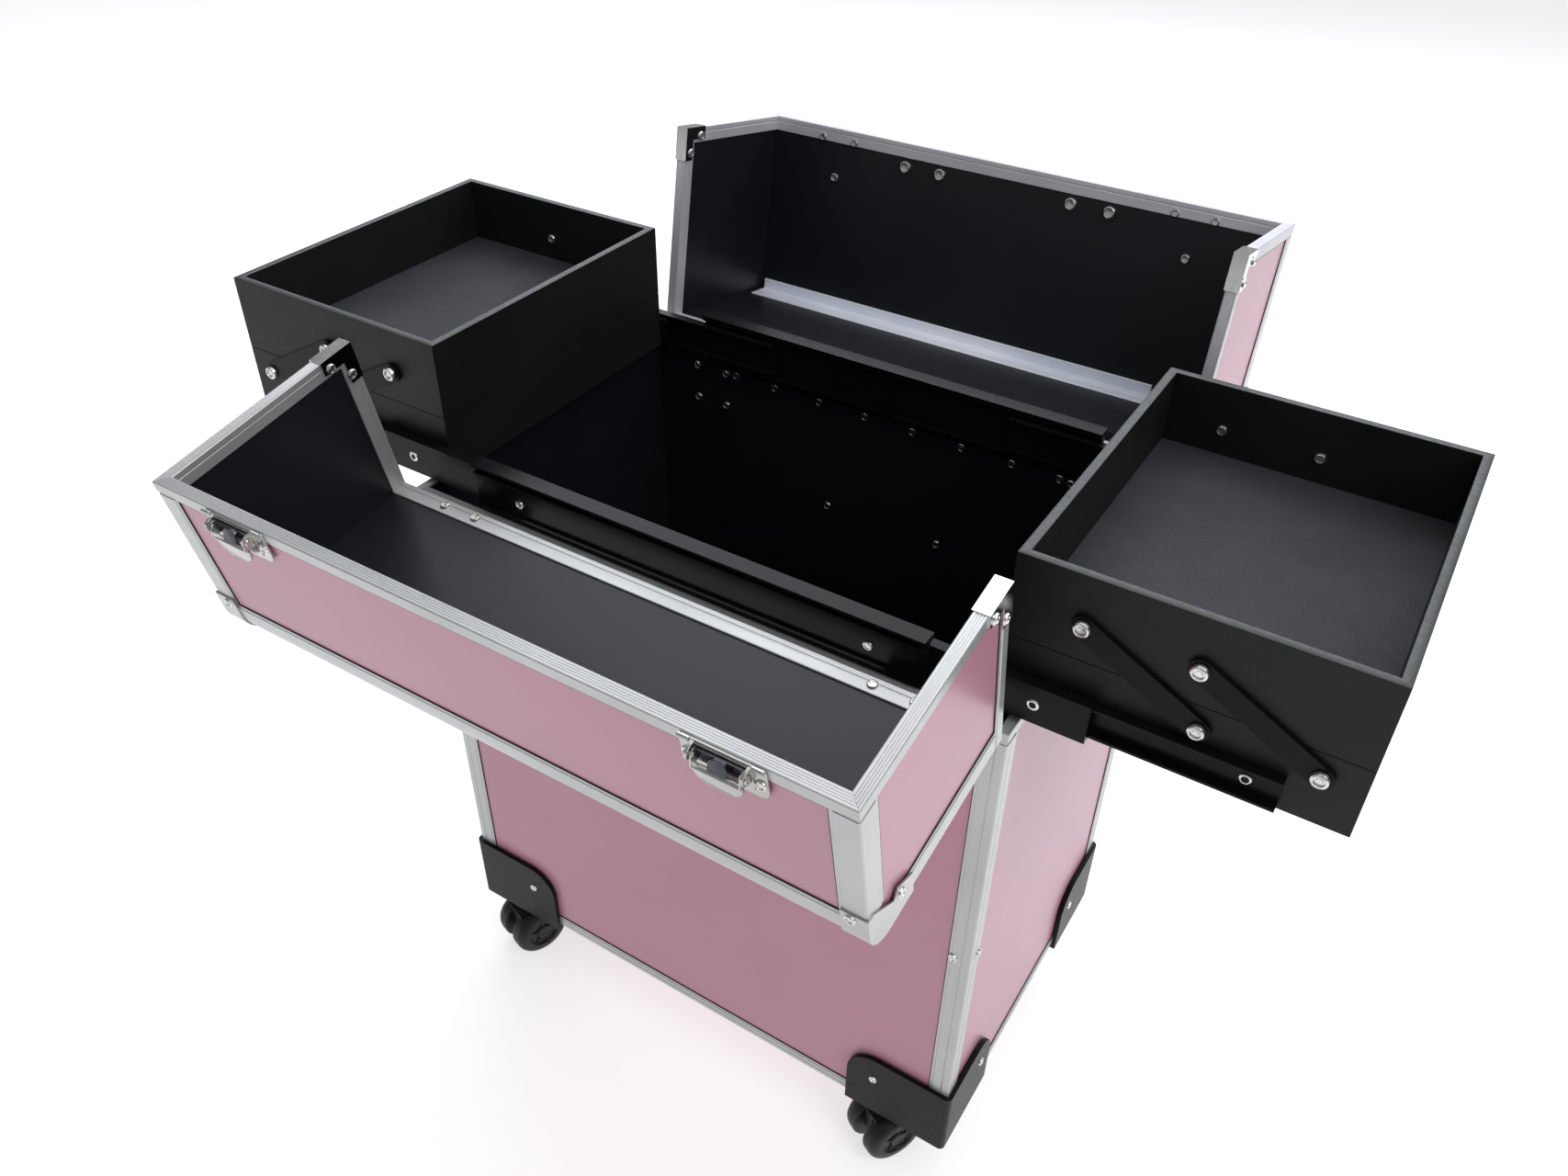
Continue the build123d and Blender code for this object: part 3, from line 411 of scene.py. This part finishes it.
def edge(shapes, start, end, u_dir, v_dir, profile, shade_legs, cut_start=(0, 0), cut_end=(0, 0)):
    """One extrusion with its painted shade lines, dark strips that stand in for the shadow beside
    each leg; the last argument lists the leg lengths along u and along v.
    """
    metal, shade_lines = shapes
    metal.bar(start, end, u_dir, v_dir, profile, cut_start, cut_end)
    for leg in shade_legs[0]:
        shade_lines.bar(start, end, u_dir, v_dir, shade_line_profile(leg), cut_start, cut_end)
    for leg in shade_legs[1]:
        strip = [(v, u) for u, v in shade_line_profile(leg)]
        shade_lines.bar(start, end, u_dir, v_dir, strip, cut_start, cut_end)


MITRE, SQUARE = (1, 0), (0, 1)          # end cuts sloped along u, and along v
FRAME_BEVEL = 0.12


def body_frame():
    """Corner, bottom and rim extrusions of the body."""
    metal, shade_lines = shapes = Shape(), Shape()
    for sx in (-1, 1):
        for sy in (-1, 1):
            low = (sx * HALF_W, sy * HALF_D, BODY_Z0 + SILL_LEG)
            top = (sx * HALF_W, sy * HALF_D, RIM_Z - RIM_LEG)
            edge(shapes, low, top, X * -sx, Y * -sy, CORNER, ((CORNER_LEG,), (CORNER_LEG,)))
    for s in (-1, 1):
        for z, up, profile, leg in ((BODY_Z0, Z, SILL, SILL_LEG), (RIM_Z, -Z, RIM_OPEN, RIM_LEG)):
            left, right = (-HALF_W, s * HALF_D, z), (HALF_W, s * HALF_D, z)
            edge(shapes, left, right, Y * -s, up, profile, ((), (leg,)), MITRE, MITRE)
            near, far = (s * HALF_W, -HALF_D, z), (s * HALF_W, HALF_D, z)
            edge(shapes, near, far, X * -s, up, profile, ((), (leg,)), MITRE, MITRE)
    body = body_of("body_frame")
    metal.build(
        "body frame", MATS["aluminium"], "aluminium", body, replaces=("body_frame",),
        bevel=FRAME_BEVEL,
    )
    # painted shade: dark strips along the legs in place of the shadow they cast on the panels
    shade_lines.build("body gaskets", DETAIL["painted_shade"], "black_moulding", body)


def lid_frame(name, body):
    """Rim, corner and rounded extrusions of a lid, and the angle strip inside the rear one."""
    sy, depth, _ = LIDS[name]
    back, split = sy * HALF_D, sy * (HALF_D - depth)
    into, away = Y * -sy, Y * sy
    metal, shade_lines = shapes = Shape(), Shape()
    rim, both = ((), (RIM_LEG,)), ((CORNER_LEG,), (CORNER_LEG,))

    def along_width(y, z, *rest):
        edge(shapes, (-HALF_W, y, z), (HALF_W, y, z), *rest)

    along_width(back, LID_Z0, into, Z, RIM_FULL, rim, MITRE, MITRE)
    along_width(split, LID_Z1, -Z, away, RIM_FULL, rim, MITRE, MITRE)
    along_width(back, LID_Z1, into, -Z, ROUND, ((LID_ROUND_LEG,), (LID_ROUND_LEG,)))
    for sx in (-1, 1):
        inward, x = X * -sx, sx * HALF_W
        hinge_low, split_low, split_top = (x, back, LID_Z0), (x, split, LID_Z0), (x, split, LID_Z1)
        edge(shapes, hinge_low, split_low, inward, Z, RIM_FULL, rim, MITRE, SQUARE)
        edge(shapes, split_low, split_top, inward, away, RIM_FULL, rim, SQUARE, MITRE)
        edge(
            shapes, (x, back - sy * LID_ROUND_LEG, LID_Z1), (x, split + sy * RIM_LEG, LID_Z1),
            inward, -Z, SMOOTH_CORNER, both,
        )
        edge(
            shapes, (x, back, LID_Z0 + RIM_LEG), (x, back, LID_Z1 - LID_ROUND_LEG),
            inward, into, SMOOTH_CORNER, both,
        )
    if name == "rear_lid":
        long, short = STRIP_LEGS
        profile = [
            (0, 0), (long, 0), (long, 0.5), (long - 0.4, 0.9), (short + 0.4, 0.9), (short, 1.2),
            (SKIN, 1.2), (1.2, short - 0.4), (0.9, short), (0, short),
        ]
        ends = [(x, back - sy * WALL, LID_Z1 - WALL) for x in STRIP_X]
        strip = Shape()
        strip.bar(*ends, -Z, into, profile)
        # painted light: the strip's aluminium is made near-white and bluish
        strip.build("rear lid strip", DETAIL["lit_strip"], "aluminium", body, name)
    # painted light: the rear lid's frame gets the lighter, bluer copy of the aluminium
    finish = DETAIL["lit_lid_aluminium"] if name == "rear_lid" else MATS["aluminium"]
    metal.build(
        f"{name} frame", finish, "aluminium", body, name, (f"{name}_frame",), bevel=FRAME_BEVEL,
    )
    # painted shade: dark strips along the lid's legs in place of the shadow they cast on the panels
    shade_lines.build(f"{name} gaskets", DETAIL["painted_shade"], "black_moulding", body, name)


body_frame()
lid_frame("front_lid", body_of("front_lid_frame"))
lid_frame("rear_lid", body_of("rear_lid_frame"))

# ---- fasteners ---------------------------------------------------------------------------------
# domed head with a dished middle, as shares of its radius and height
RIVET = [
    (0, 0.62), (0.30, 0.66), (0.36, 0.42), (0.52, 0.44), (0.60, 0.95), (0.72, 1.0), (0.88, 0.8),
    (0.98, 0.35), (1, 0),
]


def rivet_profile(radius, height):
    return [(radius * r, height * h) for r, h in RIVET]


def islands(mesh):
    """Places of a mesh's vertices, in one list for each joined group."""
    keys = {}
    group = list(range(len(mesh.vertices)))

    def root(i):
        while group[i] != i:
            group[i] = group[group[i]]
            i = group[i]
        return i

    for i, v in enumerate(mesh.vertices):
        key = tuple(round(c * 1e6) for c in v.co)
        if key in keys:
            group[root(i)] = root(keys[key])
        else:
            keys[key] = i
    for e in mesh.edges:
        group[root(e.vertices[0])] = root(e.vertices[1])
    sets = {}
    for i, v in enumerate(mesh.vertices):
        sets.setdefault(root(i), []).append(v.co.copy())
    return list(sets.values())


def heads_like(node, lid=None):
    """Turned heads in place of every plain head of a node, and headed pins for its pivots."""
    shut = (opened(LIDS[lid][0], LIDS[lid][2]) if lid else Matrix.Identity(4)).inverted()
    shape = Shape()
    for group in islands(frame["nodes"][node].data):
        points = [shut @ (p * 1000 - Vector((0, Y_OFFSET, 0))) for p in group]
        low = [min(p[a] for p in points) for a in range(3)]
        high = [max(p[a] for p in points) for a in range(3)]
        size = [h - l for l, h in zip(low, high)]
        is_head = max(size) / min(size) > 1.3 and min(size) < HEAD_LIMIT
        axis = size.index(min(size) if is_head else max(size))
        normal = Vector([1 if a == axis else 0 for a in range(3)])
        middle = Vector([(l + h) / 2 for l, h in zip(low, high)])
        radius = max(size[a] for a in range(3) if a != axis) / 2
        if size[axis] < HEAD_LIMIT:
            # the wider end stands on the face
            reach = {}
            for end in (low[axis], high[axis]):
                ring = [p for p in points if abs(p[axis] - end) < 0.01]
                reach[end] = max((Vector(p) - middle).length for p in ring)
            foot = low[axis] if reach[low[axis]] >= reach[high[axis]] else high[axis]
            sign = 1 if foot == low[axis] else -1
            centre = middle.copy()
            centre[axis] = foot
            shape.lathe(centre, normal * sign, rivet_profile(radius, size[axis]))
        else:
            # a pin with a bolt head outside and a screw head inside
            sign = 1 if middle[axis] > 0 else -1
            outer, inner = (high[axis], low[axis]) if sign > 0 else (low[axis], high[axis])
            top, bottom = middle.copy(), middle.copy()
            top[axis] = outer - sign * BOLT_HEAD[1]
            bottom[axis] = inner + sign * SCREW_HEAD[1]
            shape.lathe(top, normal * sign, rivet_profile(*BOLT_HEAD))
            shape.lathe(bottom, normal * -sign, rivet_profile(*SCREW_HEAD))
            length = abs(top[axis] - bottom[axis])
            shape.lathe(bottom, normal * sign, [(PIVOT_R, 0), (PIVOT_R, length)])
    shape.build(
        f"{node} heads", MATS["rivet_steel"], "rivet_steel", body_of(node), lid, (node,),
    )


for node in ("body_rivets", "back_wall_bolts"):
    heads_like(node)
for lid in LIDS:
    heads_like(f"{lid}_rivets", lid)
SIDES = {"left": -1, "right": 1}
for side, sx in SIDES.items():
    for level in ("lower", "upper"):
        heads_like(f"{level}_pivots_{side}")
    for member, (x, y, height) in SLIDE_RIVETS.items():
        node = f"{member}_{side}"
        pair = Shape()
        for sy in (-1, 1):
            pair.lathe((sx * x, sy * y, SLIDE_Z), Y * sy, rivet_profile(SLIDE_RIVET_R, height))
        pair.build(f"{node} rivets", MATS["rivet_steel"], "rivet_steel", body_of(node))

# ---- painted highlight: lighter top edges of the upper trays, standing in for the light from above ---
BAND = [
    (0.3, 0), (0.15, -0.12), (0.5, -0.3), (TRAY_WALL - 0.5, -0.3), (TRAY_WALL - 0.1, -0.12),
    (TRAY_WALL - 0.2, 0),
]
for side, sx in SIDES.items():
    band = Shape()
    inner_x, outer_x = sx * TRAY_X[0], sx * TRAY_X[1]
    for s in (-1, 1):
        y = s * TRAY_HALF_D
        ends = (inner_x, y, TRAY_TOP), (outer_x, y, TRAY_TOP)
        band.bar(*ends, Y * -s, -Z, BAND, MITRE, MITRE)
    for x, inward in ((inner_x, X * sx), (outer_x, X * -sx)):
        ends = (x, -TRAY_HALF_D, TRAY_TOP), (x, TRAY_HALF_D, TRAY_TOP)
        band.bar(*ends, inward, -Z, BAND, MITRE, MITRE)
    node = f"upper_tray_{side}"
    # painted highlight along the top edges of the tray walls
    band.build(f"{node} edging", DETAIL["edge"], "tray_board", body_of(node))


# ---- latches -----------------------------------------------------------------------------------
def rounded(x0, x1, y0, y1, radii, steps=5):
    """Outline of a rectangle with its own corner radii, from the low-low corner round."""
    corners = (
        ((x0, y0), (1, 1), 180), ((x1, y0), (-1, 1), 270), ((x1, y1), (-1, -1), 0),
        ((x0, y1), (1, -1), 90),
    )
    points = []
    for ((x, y), (dx, dy), start), radius in zip(corners, radii):
        radius = max(radius, 0.05)
        for i in range(steps + 1):
            a = math.radians(start + 90 * i / steps)
            points.append((
                x + dx * radius + radius * math.cos(a), y + dy * radius + radius * math.sin(a),
            ))
    return points


# outlines across a latch, counted from the lid's split and its top
EAR = [(1.5, 0.5), (9.5, 0.5), (9.0, 4.5), (7.4, 7.2), (5.0, 8.0), (2.6, 7.2), (1.5, 4.5)]
CURL = [
    (0.8 + 1.1 * math.cos(a), 1.9 + 1.1 * math.sin(a)) for a in [i * math.pi / 5 for i in range(10)]
]
FLANGE = [
    (3.4, 2.2), (10.6, 2.2), (10.6, 7.5), (9.6, 7.5), (5.6, 6.6), (3.4, 5.0), (2.8, 3.6),
]
# sections of a lever's apron from its pivot to its lip: inset, half width, top
APRON = (
    (9.4, 11.8, 6.4), (10.0, 12.0, 7.6), (10.9, 12.0, 7.6), (11.5, 12.0, 6.6), (14.0, 11.8, 6.5),
    (16.0, 11.0, 6.4), (17.8, 9.6, 6.3), (19.4, 7.6, 6.2), (20.6, 5.2, 6.0), (21.4, 2.4, 5.6),
)


def latches():
    """Riveted plates with ears, and on each a lever with a dark back plate and finger tab."""
    sy, depth, _ = LIDS["front_lid"]
    split = sy * (HALF_D - depth)
    plates, rivets = Shape(), Shape()
    for side, sx in SIDES.items():
        mid = sx * LATCH_X

        def at(x, inset, z):
            return Vector((mid + x, split + sy * inset, LID_Z1 + z))

        def across(shape, section, xs):
            shape.loft([[at(x, y, z) for y, z in section] for x in xs])

        outline = rounded(-20.5, 20.5, 1, 20, (1.5, 1.5, 5, 5))
        plates.loft([[at(x, y, z) for x, y in outline] for z in (0, 1.1)])
        raised = rounded(-14.2, 14.2, 2.2, 18.5, (1, 1, 3, 3))
        plates.loft([[at(x, y, z) for x, y in raised] for z in (1.0, 1.7)])
        for s in (-1, 1):
            across(plates, EAR, (s * 12.4, s * 13.8))
            outside, inside = (at(s * x, LATCH_PIVOT, LATCH_PIVOT) for x in (13.8, 12.4))
            plates.lathe(outside, X * s, [(0, 0.7), (1.4, 0.7), (1.9, 0.3), (2.0, 0)], 16)
            plates.lathe(inside, X * -s, [(1.0, 0), (1.0, 1.6), (0.7, 1.9)], 16)
            across(plates, CURL, (s * 14.4, s * 20.0))
            rivets.lathe(at(s * 17.2, 11, 1.1), Z, rivet_profile(RIVET_R, 1.2))

        lever, dark = Shape(), Shape()
        apron = []
        for inset, half, top in APRON:
            section = rounded(-half, half, top - 1.6, top, (0.2, 0.2, 0.6, 0.6), 3)
            apron.append([at(x, inset, z) for x, z in section])
        lever.loft(apron)
        back_plate = rounded(-10.9, 10.9, 3.4, 10.4, (0.5, 0.5, 0.2, 0.2), 2)
        dark.loft([[at(x, y, z) for x, y in back_plate] for z in (2.2, 3.0)])
        for s in (-1, 1):
            across(lever, FLANGE, (s * 11.1, s * 11.9))
        low, rise = 2.8, 0.32
        tab = rounded(-4.6, 4.6, low, 9.8, (3.6, 3.6, 0.3, 0.3), 5)
        dark.loft([
            [at(x, y, 3.0) for x, y in tab],
            [at(x * 0.96, y, 4.2 + rise * (y - low)) for x, y in tab],
            [at(x * 0.86, 0.3 + y * 0.96, 4.5 + rise * (y - low)) for x, y in tab],
        ])
        node = f"latch_lever_{side}"
        body = body_of(node)
        lever.build(f"{node} shape", DETAIL["nickel"], "chrome", body, "front_lid", (node,))
        dark.build(f"{node} tab", DETAIL["dark_chrome"], "chrome", body, "front_lid")
    body = body_of("latch_bases")
    plates.build(
        "latch plates", DETAIL["nickel"], "chrome", body, "front_lid", ("latch_bases",),
        bevel=FRAME_BEVEL,
    )
    rivets.build("latch rivets", MATS["rivet_steel"], "rivet_steel", body, "front_lid")


latches()

# ---- caster wheels -----------------------------------------------------------------------------
# half section of a wheel from its inner face out: radius, height along the axle
WHEEL = [
    (3.2, 0), (19.6, 0), (21.2, 0.5), (22, 1.8), (22, 4.2), (21.7, 4.5), (21.7, 5.0), (22, 5.3),
    (22, 7.6), (21.6, 9.8), (20.4, 11.9), (18.6, 13.3), (16.6, 13.9), (13.2, 14.0), (12.6, 13.6),
    (12.2, 12.6), (11.4, 11.9), (6.2, 11.6), (5.8, 12.2), (5.4, 13.2), (3.6, 13.5), (3.2, 13.2),
]
WEB = WHEEL_IN + 11.5                   # sunk face between hub and tyre, where the spokes stand


def spoke(shape, hub, out, side, up):
    """Small tapered rib from the hub to the tyre."""
    rings = []
    for reach, height in ((4.0, 1.3), (11.6, 1.0)):
        section = ((-1, 0), (1, 0), (0.7, height), (-0.7, height))
        rings.append([hub + out * reach + side * w + up * h for w, h in section])
    shape.loft(rings)


for index, (sx, sy, degrees) in enumerate(CASTERS, 1):
    turned = math.radians(degrees)
    axle = Vector((math.cos(turned), math.sin(turned), 0))
    middle = Vector((
        sx * SWIVEL[0] + CASTER_TRAIL * math.sin(turned),
        sy * SWIVEL[1] - CASTER_TRAIL * math.cos(turned),
        AXLE_Z,
    ))
    pair = Shape()
    for s in (-1, 1):
        pair.lathe(middle + axle * (s * WHEEL_IN), axle * s, WHEEL, 48)
        for i in range(SPOKES):
            a = 2 * math.pi * i / SPOKES
            out = Z * math.cos(a) + axle.cross(Z) * math.sin(a)
            spoke(pair, middle + axle * (s * WEB), out, out.cross(axle), axle * s)
    node = f"caster_wheels_{index}"
    pair.build(
        f"{node} turned", MATS["wheel_rubber"], "wheel_rubber", body_of(node), replaces=(node,),
    )

# ---- camera ------------------------------------------------------------------------------------
SENSOR, LENS = 36.0, 29.164
AZIMUTH, ELEVATION, ROLL = 0.55154022, 0.65579320, 0.01741341
FROM_BODY = (0.34027, -0.56568, 0.43305)    # metres from the middle of the body's rim
cam = bpy.data.objects.new("camera", bpy.data.cameras.new("camera"))
bpy.context.scene.collection.objects.link(cam)
bpy.context.scene.camera = cam
cam.data.sensor_width = SENSOR
cam.data.lens = LENS
forward = Vector((
    -math.sin(AZIMUTH) * math.cos(ELEVATION),
    math.cos(AZIMUTH) * math.cos(ELEVATION),
    -math.sin(ELEVATION),
))
right = forward.cross(Z).normalized()
up = right.cross(forward)
turn = Matrix.Rotation(-ROLL, 3, forward)
right, up = turn @ right, turn @ up
place = Matrix((right, up, -forward)).transposed().to_4x4()
place.translation = Vector((
    FROM_BODY[0], FROM_BODY[1] + Y_OFFSET / 1000, FROM_BODY[2] + RIM_Z / 1000,
))
cam.matrix_world = place
cam.data.clip_start = 0.01
cam.data.clip_end = 100.0

# ---- stage and light ---------------------------------------------------------------------------
FLOOR_GREY, FLOOR_GLOW = 0.60, 0.64
SKY, SKY_STRENGTH = (0.97, 0.99, 1.0), 0.34
AIM = (0, 0, 0.4)

bpy.ops.mesh.primitive_plane_add(size=40.0, location=(0, 0, 0))
floor = bpy.context.object
floor.name = "floor"
floor_mat, _, floor_bsdf = material("pale floor", (FLOOR_GREY,) * 3, 0.75, spec=0.2)
floor_bsdf.inputs["Emission Color"].default_value = (1, 1, 1, 1)
floor_bsdf.inputs["Emission Strength"].default_value = FLOOR_GLOW
floor.data.materials.append(floor_mat)

bpy.context.scene.view_settings.view_transform = "Standard"
world = bpy.data.worlds.new("studio")
bpy.context.scene.world = world
world.use_nodes = True
sky = world.node_tree.nodes["Background"]
sky.inputs["Color"].default_value = (*SKY, 1)
sky.inputs["Strength"].default_value = SKY_STRENGTH


def area_light(name, at, size, power, color=(1, 1, 1)):
    """Soft rectangular light aimed at the case."""
    data = bpy.data.lights.new(name, "AREA")
    data.shape = "RECTANGLE"
    data.size, data.size_y = size
    data.energy = power
    data.color = color
    lamp = bpy.data.objects.new(name, data)
    lamp.location = at
    lamp.rotation_mode = "QUATERNION"
    lamp.rotation_quaternion = (Vector(AIM) - Vector(at)).to_track_quat("-Z", "Y")
    bpy.context.scene.collection.objects.link(lamp)


area_light("ceiling", (0.1, 0.3, 2.2), (2.4, 1.6), 14)
area_light("back window", (-0.6, 1.8, 2.0), (3.6, 2.2), 72, (0.88, 0.94, 1.0))
area_light("right window", (1.7, -0.5, 2.0), (1.2, 1.2), 16, (1.0, 0.98, 0.99))
area_light("front fill", (-0.6, -2.4, 1.6), (1.6, 1.2), 1)
